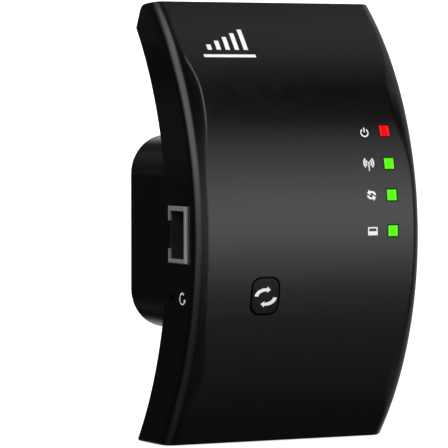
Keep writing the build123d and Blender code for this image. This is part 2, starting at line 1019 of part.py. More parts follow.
def choke():
    """A drum-shaped choke."""
    x, z = choke_place
    top = power_board_front - choke_height
    drum = rod_y(x, z, choke_radius, top, power_board_front)
    waist = rod_y(x, z, choke_radius + past, top + choke_flange, power_board_front - choke_flange)
    return drum - (waist - rod_y(x, z, choke_waist, top, power_board_front))


def fuse_resistor():
    """An axial resistor lying on the power board, with its two bent legs."""
    y = power_board_front - resistor_height
    body = fillet(rod_x(y, resistor_z, resistor_radius, *resistor_x).edges(), can_round)
    left, right = resistor_x[0] - lead_reach, resistor_x[1] + lead_reach
    points = [
        (left, power_board_front, resistor_z),
        (left, y, resistor_z),
        (right, y, resistor_z),
        (right, power_board_front, resistor_z),
    ]
    return body + tube_along(points, lead_radius, lead_bend)


def safety_capacitor():
    """A disc capacitor standing on its two legs."""
    x, z = disc_place
    disc = Pos(x, power_board_front - disc_height, z) * Cylinder(disc_radius, disc_thickness)
    disc = fillet(disc.edges(), disc_thickness / 3)
    spread, length = disc_lead
    for side in (-1, 1):
        start = power_board_front - length
        disc = disc + rod_y(x + side * spread, z, lead_radius, start, power_board_front)
    return disc


def power_block(x, z, height):
    """A moulded package on the front of the power board."""
    body = bar(x, (power_board_front - height, power_board_front), z)
    return chamfer(body.faces().sort_by(Axis.Y)[0].edges(), block_edge)


def transformer_bobbin():
    """The bobbin's base and its two cheeks."""
    base_top = power_board_front - bobbin_base
    base = (base_top, power_board_front)
    bobbin = bar(around(0, bobbin_width), base, around(transformer_z, bobbin_height))
    for side in (-1, 1):
        cheek = bar(
            around(side * cheek_x, bobbin_cheek),
            (transformer_y - winding_radius, base_top),
            around(transformer_z, 2 * winding_radius),
        )
        bobbin = bobbin + cheek
    return bobbin - core_leg(thread_gap)


def core_leg(gap):
    """The middle leg of the transformer's core."""
    return bar(
        around(0, core_leg_width),
        around(transformer_y, core_thickness + 2 * gap),
        around(transformer_z, core_leg_height + 2 * gap),
    )


def transformer_winding():
    """The taped winding round the core's middle leg."""
    radius = winding_radius - tape_gap
    winding = rod_x(transformer_y, transformer_z, radius, -winding_half, winding_half)
    return winding - core_leg(thread_gap)


def transformer_core():
    """The ferrite core: a frame with a middle leg."""
    window = (core_width - 2 * core_bar, core_height - 2 * core_bar)
    thickness = around(transformer_y, core_thickness)
    frame = bar(around(0, core_width), thickness, around(transformer_z, core_height))
    through = around(transformer_y, core_thickness + 2 * past)
    frame = frame - bar(around(0, window[0]), through, around(transformer_z, window[1]))
    return frame + core_leg(0)


# Write every sub-part

os.makedirs("parts", exist_ok=True)

save(front_cover(), "front_cover")
save(rear_cover(), "rear_cover")
save(pin_carrier(), "pin_carrier")
for side, name in ((-1, "left"), (1, "right")):
    save(plug_pin(side), "plug_pin_" + name)
    save(pin_sleeve(side), "pin_sleeve_" + name)
save(rating_label(), "rating_label")
save(Compound(case_screws()), "case_screws")
save(Compound(board_screws()), "board_screws")
save(Compound(power_screws()), "power_screws")

save(main_board(), "main_board")
save(chip(*processor_size), "processor")
save(chip(*memory_size), "memory_chip")
save(chip(*flash_size), "flash_chip")
magnetics_x = jack_back + magnetics_gap + magnetics_size[0] / 2
save(chip(magnetics_x, jack_height, *magnetics_size), "network_transformer")
save(chip(*radio_can_size), "radio_shield_can")
save(chip(*crystal_size), "crystal")
save(chip(*regulator_size), "regulator")
save(chip(*inductor_size), "power_inductor")
save(bulk_capacitor(), "bulk_capacitor")
save(dc_header(), "dc_header")
save(Compound(dc_leads()), "dc_leads")

save(rj45_housing(), "rj45_housing")
save(rj45_shield(), "rj45_shield")
save(Compound(rj45_contacts()), "rj45_contacts")

save(pairing_button(), "pairing_button")
save(pairing_switch_body(), "pairing_switch_body")
save(pairing_switch_cover(), "pairing_switch_cover")
save(pairing_switch_plunger(), "pairing_switch_plunger")
save(reset_switch_body(), "reset_switch_body")
save(reset_switch_plunger(), "reset_switch_plunger")

for name, z in light_rises.items():
    save(light_pipe(z), "light_pipe_" + name)
save(light_shroud(), "light_shroud")
save(status_led(light_rises["power"]), "status_led_red")
green_leds = [status_led(z) for name, z in light_rises.items() if name != "power"]
save(Compound(green_leds), "status_leds_green")

save(antenna(top_antenna), "antenna_top")
save(antenna(bottom_antenna), "antenna_bottom")
save(antenna_lead(top_antenna, -coax_socket_x), "antenna_lead_top")
save(antenna_lead(bottom_antenna, coax_socket_x), "antenna_lead_bottom")
save(Compound(coax_sockets()), "coax_sockets")

save(power_board(), "power_board")
input_cans = [standing_can(input_can_x, z, input_can) for z in input_can_z]
save(Compound(input_cans), "input_capacitors")
output_cans = [standing_can(output_can_x, z, output_can) for z in output_can_z]
save(Compound(output_cans), "output_capacitors")
save(choke(), "choke")
save(fuse_resistor(), "fuse_resistor")
save(safety_capacitor(), "safety_capacitor")
save(power_block(rectifier_x, rectifier_z, rectifier_height), "rectifier")
save(power_block(controller_x, controller_z, controller_height), "power_controller")
save(transformer_bobbin(), "transformer_bobbin")
save(transformer_winding(), "transformer_winding")
save(transformer_core(), "transformer_core")
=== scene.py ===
import json
import math

import bpy
import bmesh
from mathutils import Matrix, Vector
from mathutils.bvhtree import BVHTree


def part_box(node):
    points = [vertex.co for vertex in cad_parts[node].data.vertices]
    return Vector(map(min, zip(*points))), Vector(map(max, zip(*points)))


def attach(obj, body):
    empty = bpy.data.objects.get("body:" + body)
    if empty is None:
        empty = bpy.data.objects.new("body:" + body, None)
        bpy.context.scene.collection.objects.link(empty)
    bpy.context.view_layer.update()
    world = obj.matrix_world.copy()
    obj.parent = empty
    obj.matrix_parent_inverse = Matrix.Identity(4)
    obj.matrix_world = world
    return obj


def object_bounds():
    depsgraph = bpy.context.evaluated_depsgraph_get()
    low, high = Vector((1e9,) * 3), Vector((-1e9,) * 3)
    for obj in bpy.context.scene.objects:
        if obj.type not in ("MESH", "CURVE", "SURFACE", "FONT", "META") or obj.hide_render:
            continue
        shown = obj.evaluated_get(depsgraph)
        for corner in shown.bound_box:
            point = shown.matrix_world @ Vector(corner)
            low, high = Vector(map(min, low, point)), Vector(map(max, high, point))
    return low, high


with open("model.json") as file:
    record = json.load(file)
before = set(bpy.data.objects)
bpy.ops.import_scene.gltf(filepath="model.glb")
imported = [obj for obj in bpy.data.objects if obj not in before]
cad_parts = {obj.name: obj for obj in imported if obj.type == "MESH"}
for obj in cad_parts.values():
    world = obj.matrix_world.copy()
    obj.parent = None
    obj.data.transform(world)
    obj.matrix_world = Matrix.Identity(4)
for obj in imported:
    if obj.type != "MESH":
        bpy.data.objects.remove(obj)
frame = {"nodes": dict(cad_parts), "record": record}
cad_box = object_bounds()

# Looks for the plug-in wireless range extender. Metres, in the part's own frame: the
# plug pins point along +Y, the front faces -Y, and +Z is up.

MM = 0.001
NODES = frame["nodes"]

# Camera
SHOT_AIM = Vector((-10.06, -22.0, 2.3)) * MM
SHOT_YAW = math.radians(27.3)
SHOT_PITCH = math.radians(2.17)
SHOT_DISTANCE = 0.850
SHOT_LENS = 271.4
SENSOR = 36.0
CLIP_START = 0.05
CLIP_END = 20.0

# Studio
LAMPS = {"lamp_left": (-0.55, -0.75, 0.45), "lamp_right": (0.45, -0.85, 0.15)}
LAMP_POWER = 3.2
LAMP_SIZE = 0.5
STAGE_RADIUS = 4.0
FLOOR_GAP = 0.2 * MM
FLOOR_GLOW = 0.78
BACKDROP_GLOW = 1.0

# Light that each panel of the studio gives, and the light of the room round them
MAIN_LIGHT = 1.9
LEFT_LIGHT = 2.4
HIGH_LIGHT = 3.6
CORNER_LIGHT = 0.06
RIGHT_LIGHT = 0.45
ROOM_LIGHT = 0.008

# Printed marks
PRINT_PROUD = 0.02 * MM     # how far the ink stands off its surface
PRINT_SUNK = 0.04 * MM      # how far it reaches below it
PRINT_STEP = 0.35 * MM      # the longest straight step of a stroke
PRINT_TURN = 12             # the largest step of an arc, in degrees
PRINT_WELD = 0.01 * MM      # corners nearer than this become one
PROBE_LEAD = 1 * MM         # how far outside the box the search for a surface starts
ICON_OFFSET = 5.8 * MM      # from a window's middle to the middle of its symbol
ICON_DROP = 0.15 * MM
PAIRING_DROP = 0.2 * MM
SIGNAL_PLACE = (-15.6 * MM, 47.6 * MM)
RESET_MARK_OFFSET = 5.9 * MM

# Fall of the face beside its long edges: widest some way above and below the middle, and none
# at the middle and the ends
CROWN_INSET = 3.3 * MM
CROWN_WIDTH = 2.4 * MM
CROWN_END = 1.2 * MM
CROWN_DEPTH = 0.5 * MM
CROWN_HEIGHTS = (12 * MM, 34 * MM, 36 * MM, 48 * MM)

# Lit windows
WINDOW_HALF = 1.6 * MM
RIM_START = WINDOW_HALF - 0.35 * MM
RIM_END = WINDOW_HALF - 0.22 * MM
CORE_HALF = 0.9 * MM
SIDE_HALF = 1.7 * MM
GREEN_PIPES = ["light_pipe_wireless", "light_pipe_sync", "light_pipe_network"]

# Rubbed edges of plastic
RUBBED_RADIUS = 0.35 * MM
RUBBED_LIGHTER = 4
RUBBED_DULLER = 0.15


# Helpers


def middle(node):
    """The middle of a node's box."""
    low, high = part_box(node)
    return (Vector(low) + Vector(high)) / 2


def mm(*values):
    """A tuple of lengths given in millimetres."""
    return tuple(v * MM for v in values)


def grey(level):
    """A colour without a tint."""
    return (level,) * 3


def new_material(name):
    """A node material with its principled shader."""
    material = bpy.data.materials.new(name)
    material.use_nodes = True
    tree = material.node_tree
    return material, tree, tree.nodes["Principled BSDF"]


def feed(tree, socket, value):
    """Sets a socket to a number or a colour, or links another socket to it."""
    if isinstance(value, bpy.types.NodeSocket):
        tree.links.new(value, socket)
    else:
        socket.default_value = value


def calc(tree, operation, *values):
    """One Math node."""
    node = tree.nodes.new("ShaderNodeMath")
    node.operation = operation
    for socket, value in zip(node.inputs, values):
        feed(tree, socket, value)
    return node.outputs[0]


def rescale(tree, value, start, end, low=0.0, high=1.0):
    """A smooth step from low to high as the value goes from start to end."""
    node = tree.nodes.new("ShaderNodeMapRange")
    node.interpolation_type = "SMOOTHSTEP"
    for name, number in (("From Min", start), ("From Max", end), ("To Min", low), ("To Max", high)):
        node.inputs[name].default_value = number
    feed(tree, node.inputs["Value"], value)
    return node.outputs["Result"]


def band(tree, value, start, rise, fall, end):
    """1 between rise and fall, and 0 before start and after end."""
    up = rescale(tree, value, start, rise)
    down = rescale(tree, value, fall, end, 1.0, 0.0)
    return calc(tree, "MULTIPLY", up, down)


def curve(tree, value, stops):
    """A smooth curve through a few (position, level) stops."""
    node = tree.nodes.new("ShaderNodeValToRGB")
    node.color_ramp.interpolation = "CARDINAL"
    elements = node.color_ramp.elements
    while len(elements) < len(stops):
        elements.new(0.5)
    for element, (position, level) in zip(elements, stops):
        element.position = position
        element.color = (level, level, level, 1)
    feed(tree, node.inputs["Fac"], value)
    return node.outputs["Color"]


def blend(tree, amount, first, second):
    """A colour between two colours or colour sockets."""
    node = tree.nodes.new("ShaderNodeMix")
    node.data_type = "RGBA"
    feed(tree, node.inputs["Factor"], amount)
    for name, value in (("A", first), ("B", second)):
        socket = next(s for s in node.inputs if s.name == name and s.type == "RGBA")
        feed(tree, socket, value if isinstance(value, bpy.types.NodeSocket) else (*value, 1))
    return next(s for s in node.outputs if s.type == "RGBA")


def axes(tree, vector):
    """The three parts of a vector."""
    split = tree.nodes.new("ShaderNodeSeparateXYZ")
    tree.links.new(vector, split.inputs[0])
    return split.outputs


def coordinates(tree, stretch=(1, 1, 1)):
    """The part's own coordinates, stretched along each axis."""
    place = tree.nodes.new("ShaderNodeTexCoord")
    scale = tree.nodes.new("ShaderNodeVectorMath")
    scale.operation = "MULTIPLY"
    scale.inputs[1].default_value = stretch
    tree.links.new(place.outputs["Object"], scale.inputs[0])
    return scale.outputs["Vector"]


def noise(tree, size, detail=2.0, rough=0.5, stretch=(1, 1, 1)):
    """Noise whose features are about the given size across."""
    texture = tree.nodes.new("ShaderNodeTexNoise")
    texture.inputs["Scale"].default_value = 1 / size
    texture.inputs["Detail"].default_value = detail
    texture.inputs["Roughness"].default_value = rough
    tree.links.new(coordinates(tree, stretch=stretch), texture.inputs["Vector"])
    return texture.outputs["Fac"]


def edges(tree, radius, strength=6.0):
    """1 along edges and 0 on open faces."""
    bevel = tree.nodes.new("ShaderNodeBevel")
    bevel.samples = 4
    bevel.inputs["Radius"].default_value = radius
    surface = tree.nodes.new("ShaderNodeNewGeometry")
    dot = tree.nodes.new("ShaderNodeVectorMath")
    dot.operation = "DOT_PRODUCT"
    tree.links.new(bevel.outputs["Normal"], dot.inputs[0])
    tree.links.new(surface.outputs["Normal"], dot.inputs[1])
    apart = calc(tree, "SUBTRACT", 1.0, dot.outputs["Value"])
    return rescale(tree, calc(tree, "MULTIPLY", apart, strength), 0.05, 1.0)


def bump(tree, shader, layers):
    """Feeds one or more (height, distance) layers into the shader's normal."""
    below = None
    for height, distance in layers:
        node = tree.nodes.new("ShaderNodeBump")
        node.inputs["Distance"].default_value = distance
        tree.links.new(height, node.inputs["Height"])
        if below:
            tree.links.new(below, node.inputs["Normal"])
        below = node.outputs["Normal"]
    tree.links.new(below, shader.inputs["Normal"])


# Materials


def moulded(name, dark, light, rough, grain=0.25 * MM, depth=0.002 * MM, wave=0.0, wear=0.0, specular=0.5):
    """Moulded plastic: a fine grain, slow changes of gloss, and edges rubbed a little lighter.

    A wave adds the slow unevenness of a large polished shell, and its crown.
    """
    material, tree, shader = new_material(name)
    shader.inputs["Specular IOR Level"].default_value = specular
    colour = blend(tree, noise(tree, 9 * MM, 4.0), dark, light)
    gloss = rescale(tree, noise(tree, 5 * MM, 5.0, 0.6), 0.3, 0.7, *rough)
    if wear:
        rubbed = calc(tree, "MULTIPLY", edges(tree, RUBBED_RADIUS), noise(tree, 1.2 * MM, 4.0))
        rubbed_light = [RUBBED_LIGHTER * c for c in light]
        colour = blend(tree, calc(tree, "MULTIPLY", rubbed, wear), colour, rubbed_light)
        gloss = calc(tree, "ADD", gloss, calc(tree, "MULTIPLY", rubbed, RUBBED_DULLER))
    feed(tree, shader.inputs["Base Color"], colour)
    feed(tree, shader.inputs["Roughness"], gloss)
    layers = [(noise(tree, grain, 2.0), depth)]
    if wave:
        layers.append((noise(tree, 6 * MM, 1.0), wave))
        layers.append((crown(tree), CROWN_DEPTH))
    bump(tree, shader, layers)
    return material


def crown(tree):
    """Height that falls away beside the long rounded edges of the face."""
    x, _, z = axes(tree, coordinates(tree))
    height = calc(tree, "ABSOLUTE", z)
    width = calc(tree, "MULTIPLY", band(tree, height, *CROWN_HEIGHTS), CROWN_WIDTH)
    start = calc(tree, "SUBTRACT", cad_box[1][0] - CROWN_INSET, width)
    past = calc(tree, "SUBTRACT", calc(tree, "ABSOLUTE", x), start)
    span = calc(tree, "ADD", width, CROWN_END)
    fall = rescale(tree, calc(tree, "DIVIDE", past, span), 0.0, 1.0, 0.0, -1.0 / CROWN_WIDTH)
    return calc(tree, "MULTIPLY", fall, width)


def metal(name, dark, light, rough, grain=0.3 * MM, stretch=(1, 1, 1), depth=0.002 * MM, bare=1.0):
    """Bare or plated metal with fine marks along one direction and duller patches."""
    material, tree, shader = new_material(name)
    shader.inputs["Metallic"].default_value = bare
    marks = noise(tree, grain, 3.0, 0.6, stretch)
    colour = blend(tree, noise(tree, 2.5 * MM, 4.0), dark, light)
    rubbed = edges(tree, 0.15 * MM)
    bright = [min(1.0, 1.15 * c) for c in light]
    feed(tree, shader.inputs["Base Color"], blend(tree, rubbed, colour, bright))
    feed(tree, shader.inputs["Roughness"], rescale(tree, marks, 0.25, 0.75, *rough))
    bump(tree, shader, [(marks, depth)])
    return material


def lit(name, pipes, core, side, rim):
    """Clear windows lit from behind: strongest in the middle, with a dark coloured rim."""
    material, tree, shader = new_material(name)
    x, _, z = axes(tree, coordinates(tree))
    across = calc(tree, "ABSOLUTE", calc(tree, "SUBTRACT", x, middle(pipes[0]).x))
    along = 1.0     # farther away than any window
    for pipe in pipes:
        away = calc(tree, "ABSOLUTE", calc(tree, "SUBTRACT", z, middle(pipe).z))
        along = calc(tree, "MINIMUM", away, along)
    cloud = calc(tree, "MULTIPLY", noise(tree, 0.9 * MM, 3.0), 0.6 * MM)
    glow = blend(tree, rescale(tree, calc(tree, "ADD", across, cloud), CORE_HALF, SIDE_HALF), core, side)
    reach = calc(tree, "MAXIMUM", across, along)
    glow = blend(tree, rescale(tree, reach, RIM_START, RIM_END), glow, rim)
    feed(tree, shader.inputs["Emission Color"], glow)
    shader.inputs["Emission Strength"].default_value = 1.0
    shader.inputs["Specular IOR Level"].default_value = 0.08
    feed(tree, shader.inputs["Base Color"], blend(tree, noise(tree, 0.6 * MM), [0.3 * c for c in rim], rim))
    feed(tree, shader.inputs["Roughness"], rescale(tree, noise(tree, 0.4 * MM), 0.3, 0.7, 0.4, 0.55))
    bump(tree, shader, [(noise(tree, 0.3 * MM), 0.003 * MM)])
    return material


def circuit_board(name, mask, copper, rough):
    """Solder mask over a maze of straight copper runs."""
    material, tree, shader = new_material(name)
    runs = tree.nodes.new("ShaderNodeTexBrick")
    runs.offset = 0.37
    runs.offset_frequency = 3
    runs.squash = 1.8
    runs.squash_frequency = 4
    runs.inputs["Scale"].default_value = 90.0
    runs.inputs["Mortar Size"].default_value = 0.035
    runs.inputs["Mortar Smooth"].default_value = 0.3
    turn = tree.nodes.new("ShaderNodeMapping")
    turn.inputs["Rotation"].default_value = (math.pi / 2, 0, 0)
    tree.links.new(coordinates(tree), turn.inputs["Vector"])
    tree.links.new(turn.outputs["Vector"], runs.inputs["Vector"])
    base = blend(tree, noise(tree, 8 * MM, 3.0), mask, [1.25 * c for c in mask])
    feed(tree, shader.inputs["Base Color"], blend(tree, runs.outputs["Fac"], base, copper))
    feed(tree, shader.inputs["Roughness"], rescale(tree, noise(tree, 0.5 * MM, 3.0), 0.3, 0.7, *rough))
    bump(tree, shader, [(noise(tree, 0.2 * MM), 0.004 * MM), (runs.outputs["Fac"], 0.03 * MM)])
    return material


BLACK = (0.0022, 0.0022, 0.0024)
DARK = (0.0034, 0.0034, 0.0036)

MATERIALS = {
    "case_black": moulded(
        "case_black", BLACK, DARK, (0.13, 0.17), depth=0.0006 * MM, wave=0.004 * MM, wear=0.25
    ),
    "button_black": moulded(
        "button_black", BLACK, DARK, (0.26, 0.32), depth=0.0015 * MM, wear=0.2, specular=0.28
    ),
    "carrier_black": moulded(
        "carrier_black", grey(0.012), grey(0.02), (0.42, 0.55), depth=0.006 * MM, wear=0.3
    ),
    "jack_black": moulded("jack_black", grey(0.010), grey(0.016), (0.35, 0.5), depth=0.004 * MM, wear=0.3),
    "switch_black": moulded("switch_black", grey(0.02), grey(0.03), (0.4, 0.55), depth=0.004 * MM),
    "shroud_black": moulded("shroud_black", grey(0.015), grey(0.022), (0.45, 0.6), depth=0.004 * MM),
    "chip_black": moulded("chip_black", grey(0.022), grey(0.034), (0.5, 0.65), 0.12 * MM, 0.006 * MM),
    "ferrite": moulded(
        "ferrite", grey(0.035), (0.06, 0.058, 0.056), (0.5, 0.7), 0.2 * MM, 0.01 * MM, wear=0.4
    ),
    "label_grey": moulded(
        "label_grey", (0.46, 0.47, 0.48), (0.54, 0.55, 0.56), (0.35, 0.5), 0.18 * MM, 0.004 * MM
    ),
    "plunger_white": moulded("plunger_white", (0.66, 0.65, 0.60), (0.74, 0.73, 0.69), (0.35, 0.5), wear=0.05),
    "header_white": moulded("header_white", (0.70, 0.67, 0.58), (0.80, 0.77, 0.69), (0.4, 0.5)),
    "led_white": moulded("led_white", (0.75, 0.74, 0.68), (0.86, 0.85, 0.80), (0.15, 0.25)),
    "coax_grey": moulded("coax_grey", grey(0.10), grey(0.16), (0.45, 0.6), 0.15 * MM, 0.005 * MM),
    "lead_red": moulded("lead_red", (0.42, 0.012, 0.012), (0.55, 0.02, 0.018), (0.4, 0.5)),
    "capacitor_sleeve": moulded("capacitor_sleeve", (0.012, 0.014, 0.05), (0.02, 0.024, 0.08), (0.2, 0.3)),
    "winding_tape": moulded(
        "winding_tape", (0.55, 0.42, 0.03), (0.70, 0.56, 0.05), (0.2, 0.35), 1.1 * MM, 0.01 * MM
    ),
    "resistor_body": moulded("resistor_body", (0.16, 0.33, 0.25), (0.24, 0.44, 0.34), (0.35, 0.5)),
    "disc_blue": moulded(
        "disc_blue", (0.03, 0.10, 0.33), (0.05, 0.15, 0.45), (0.3, 0.45), 0.7 * MM, 0.01 * MM
    ),
    "print_white": moulded("print_white", grey(0.78), grey(0.86), (0.4, 0.5), 0.15 * MM, 0.002 * MM),
    "pin_metal": metal("pin_metal", (0.66, 0.64, 0.60), (0.76, 0.74, 0.70), (0.16, 0.3), stretch=(1, 12, 1)),
    "screw_steel": metal("screw_steel", (0.34, 0.34, 0.36), (0.50, 0.50, 0.52), (0.3, 0.45)),
    "can_metal": metal(
        "can_metal", (0.52, 0.52, 0.53), (0.62, 0.62, 0.62), (0.28, 0.42), stretch=(0.1, 1, 1)
    ),
    "capacitor_can": metal("capacitor_can", grey(0.62), grey(0.74), (0.22, 0.35), stretch=(1, 8, 1)),
    "jack_metal": metal(
        "jack_metal", (0.27, 0.27, 0.275), grey(0.35), (0.5, 0.65), stretch=(0.15, 1, 1), bare=0.5
    ),
    "contact_gold": metal("contact_gold", (0.78, 0.52, 0.16), (0.90, 0.66, 0.26), (0.2, 0.35)),
    "board_green": circuit_board("board_green", (0.010, 0.085, 0.028), (0.03, 0.18, 0.06), (0.25, 0.4)),
    "power_board_tan": circuit_board("power_board_tan", (0.36, 0.24, 0.09), (0.46, 0.33, 0.15), (0.45, 0.6)),
    "light_red": lit(
        "light_red", ["light_pipe_power"], (1.0, 0.0, 0.0), (0.86, 0.03, 0.04), (0.03, 0.0, 0.0)
    ),
    "light_green": lit("light_green", GREEN_PIPES, (0.10, 1.0, 0.0), (0.20, 0.95, 0.04), (0.001, 0.02, 0.0)),
}


def paint_nodes():
    """Gives every CAD node the material of its slot in the record."""
    for row in frame["record"]["subparts"]:
        data = NODES[row["node"]].data
        data.materials.clear()
        data.materials.append(MATERIALS[row["material_slot"]])


# Printed marks: flat strips of quads, laid on the surface of a node and given a thickness


def strip(first, second, steps):
    """A strip between two lines, each a function of 0 to 1."""
    return [(first(k / steps), second(k / steps)) for k in range(steps + 1)]


def stroke(start, end, start_width, end_width=None):
    """A straight strip between two points, with a width at each end."""
    start, end = Vector(start), Vector(end)
    end_width = start_width if end_width is None else end_width
    along = (end - start).normalized()
    side = Vector((-along.y, along.x)) / 2
    steps = max(1, math.ceil((end - start).length / PRINT_STEP))

    def edge(sign):
        return lambda t: start.lerp(end, t) + sign * side * (start_width + (end_width - start_width) * t)

    return strip(edge(1), edge(-1), steps)


def arc(centre, radii, start, end, start_width, end_width=None):
    """A curved strip about a centre, from one angle to another in degrees."""
    end_width = start_width if end_width is None else end_width
    steps = max(3, math.ceil(abs(end - start) / PRINT_TURN))

    def edge(sign):
        def point(t):
            angle = math.radians(start + (end - start) * t)
            grow = sign * (start_width + (end_width - start_width) * t) / 2
            return Vector((
                centre[0] + (radii[0] + grow) * math.cos(angle),
                centre[1] + (radii[1] + grow) * math.sin(angle),
            ))
        return point

    return strip(edge(1), edge(-1), steps)


def printed(name, strips, node, facing, body="root"):
    """Lays strips on a node as one thin solid of ink. Facing is "front" or "left"."""
    surface = BVHTree.FromPolygons(
        [v.co for v in NODES[node].data.vertices], [p.vertices for p in NODES[node].data.polygons]
    )
    into = Vector((0, 1, 0)) if facing == "front" else Vector((1, 0, 0))
    nearest = cad_box[0][1] if facing == "front" else cad_box[0][0]
    axis = 1 if facing == "front" else 0

    def place(point):
        start = Vector((point[0], nearest - PROBE_LEAD, point[1]))
        if facing == "left":
            start = Vector((nearest - PROBE_LEAD, point[0], point[1]))
        return surface.ray_cast(start, into)[0]

    shape = bmesh.new()
    for rails in strips:
        rows = [[shape.verts.new(place(point)) for point in pair] for pair in rails]
        for (a, b), (c, d) in zip(rows, rows[1:]):
            shape.faces.new((a, b, d, c))
    bmesh.ops.remove_doubles(shape, verts=shape.verts[:], dist=PRINT_WELD)
    bmesh.ops.recalc_face_normals(shape, faces=shape.faces[:])
    for face in shape.faces:
        if face.normal.dot(into) > 0:
            face.normal_flip()
    sheet = shape.faces[:]
    rim = [edge for edge in shape.edges if edge.is_boundary]
    backs = {}
    for vert in shape.verts[:]:
        backs[vert] = shape.verts.new(vert.co + into * PRINT_SUNK)
    for face in sheet:
        shape.faces.new([backs[v] for v in reversed(face.verts)])
    for edge in rim:
        loop = edge.link_loops[0]
        a, b = loop.vert, loop.link_loop_next.vert
        shape.faces.new((b, a, backs[a], backs[b]))
    for vert in backs:
        vert.co[axis] = max(vert.co[axis] - PRINT_PROUD, nearest)
    data = bpy.data.meshes.new(name)
    shape.to_mesh(data)
    shape.free()
    piece = bpy.data.objects.new(name, data)
    data.materials.append(MATERIALS["print_white"])
    bpy.context.scene.collection.objects.link(piece)
    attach(piece, body)


def power_symbol(x, z):
    """A ring open at the top, with a bar in the gap."""
    z = z - 0.3 * MM
    ring = arc((x, z), mm(1.0, 0.92), 125, 415, 0.32 * MM)
    bar = stroke((x, z + 1.25 * MM), (x, z + 0.1 * MM), 0.34 * MM)
    return [ring, bar]


def wireless_symbol(x, z):
    """A mast between two pairs of waves."""
    strips = [stroke((x, z + 0.25 * MM), (x, z - 1.65 * MM), 0.3 * MM)]
    top = (x, z + 0.35 * MM)
    for turn in (0, 180):
        for radius in (0.8, 1.38):
            strips.append(arc(top, mm(radius, radius), turn - 50, turn + 50, 0.38 * MM))
    for side in (-1, 1):
        tip, root = (x + side * 0.35 * MM, z + 0.62 * MM), (x + side * 0.02 * MM, z + 0.3 * MM)
        strips.append(stroke(tip, root, 0.24 * MM))
    return strips


def turning_arrow(centre, radii, start, end, width, head):
    """A curved arrow: a tapering arc and a head that points along it."""
    body = arc(centre, radii, start, end, width, width * 0.7)
    angle = math.radians(end)
    base = Vector((centre[0] + radii[0] * math.cos(angle), centre[1] + radii[1] * math.sin(angle)))
    way = Vector((-radii[0] * math.sin(angle), radii[1] * math.cos(angle))).normalized()
    way = way if end > start else -way
    return [body, stroke(base, base + way * head * 0.75, head * 1.2, 0.0)]


def exchange_symbol(x, z, radii, width, head, start, end):
    """Two curved arrows that chase each other."""
    strips = turning_arrow((x, z), radii, start, end, width, head)
    return strips + turning_arrow((x, z), radii, start - 180, end - 180, width, head)


def network_symbol(x, z):
    """A small screen: a frame with a dark window over a solid base."""
    half, height = 1.36 * MM, 1.15 * MM
    frame_width = 0.32 * MM
    top = (x - half, z + height - frame_width / 2), (x + half, z + height - frame_width / 2)
    base = (x - half, z - 0.4 * MM), (x + half, z - 0.4 * MM)
    strips = [stroke(*top, frame_width), stroke(*base, 1.0 * MM)]
    for side in (-1, 1):
        edge = x + side * (half - frame_width / 2)
        strips.append(stroke((edge, z + height - frame_width), (edge, z + 0.1 * MM), frame_width))
    return strips


def signal_bars(x, z):
    """Five rising bars over a thin rule."""
    strips = [stroke((x - 7.2 * MM, z - 3.2 * MM), (x + 7.2 * MM, z - 3.2 * MM), 0.7 * MM)]
    for step in range(5):
        left = x + (step - 2) * 2.5 * MM
        foot = z - 1.7 * MM
        strips.append(stroke((left, foot), (left, foot + (1.3 + 0.95 * step) * MM), 1.2 * MM))
    return strips


def add_prints():
    """The white symbols on the front, the button and the left side."""
    icons = {"power": power_symbol, "wireless": wireless_symbol, "network": network_symbol}
    for name, symbol in icons.items():
        window = middle("light_pipe_" + name)
        strips = symbol(window.x - ICON_OFFSET, window.z - ICON_DROP)
        printed("print_" + name, strips, "front_cover", "front")
    window = middle("light_pipe_sync")
    strips = exchange_symbol(window.x - ICON_OFFSET, window.z, mm(1.0, 0.8), 0.6 * MM, 1.2 * MM, 2, 112)
    printed("print_sync", strips, "front_cover", "front")
    button = middle("pairing_button")
    strips = exchange_symbol(button.x, button.z - PAIRING_DROP, mm(2.6, 1.8), 1.05 * MM, 1.3 * MM, 174, 84)
    printed("print_pairing", strips, "pairing_button", "front", "pairing_button")
    printed("print_signal", signal_bars(*SIGNAL_PLACE), "front_cover", "front")
    reset = middle("reset_switch_plunger")
    place = (reset.y - RESET_MARK_OFFSET, reset.z)
    strips = turning_arrow(place, mm(1.35, 1.35), 130, -150, 0.4 * MM, 1.0 * MM)
    printed("print_reset", strips, "front_cover", "left")


# Studio


def add_camera():
    """The camera to the front left, looking slightly down."""
    back = Vector((
        -math.sin(SHOT_YAW) * math.cos(SHOT_PITCH),
        -math.cos(SHOT_YAW) * math.cos(SHOT_PITCH),
        math.sin(SHOT_PITCH),
    ))
    data = bpy.data.cameras.new("camera")
    data.lens = SHOT_LENS
    data.sensor_width = SENSOR
    data.clip_start = CLIP_START
    data.clip_end = CLIP_END
    camera = bpy.data.objects.new("camera", data)
    camera.location = SHOT_AIM + back * SHOT_DISTANCE
    camera.rotation_euler = (-back).to_track_quat("-Z", "Y").to_euler()
    bpy.context.scene.collection.objects.link(camera)
    bpy.context.scene.camera = camera


def main_box(tree, x, tilt):
    """The main soft box to the front right, brightest a little above level."""
    level = curve(tree, calc(tree, "DIVIDE", calc(tree, "ADD", tilt, 90.0), 200.0), (
        (0.0, 0.011), (0.125, 0.042), (0.285, 0.142), (0.35, 0.305), (0.415, 0.70), (0.485, 1.0),
        (0.57, 0.62), (0.605, 0.44), (0.635, 0.235), (0.665, 0.06), (0.70, 0.012), (0.735, 0.012),
        (0.765, 0.09), (0.80, 0.175), (0.85, 0.185), (0.90, 0.12), (0.97, 0.06),
    ))
    side = calc(tree, "ADD", 0.3, calc(tree, "MULTIPLY", band(tree, x, 0.05, 0.36, 0.7, 0.95), 0.7))
    front = band(tree, x, -0.85, -0.5, 0.7, 0.98)
    return calc(tree, "MULTIPLY", calc(tree, "MULTIPLY", level, side), front)


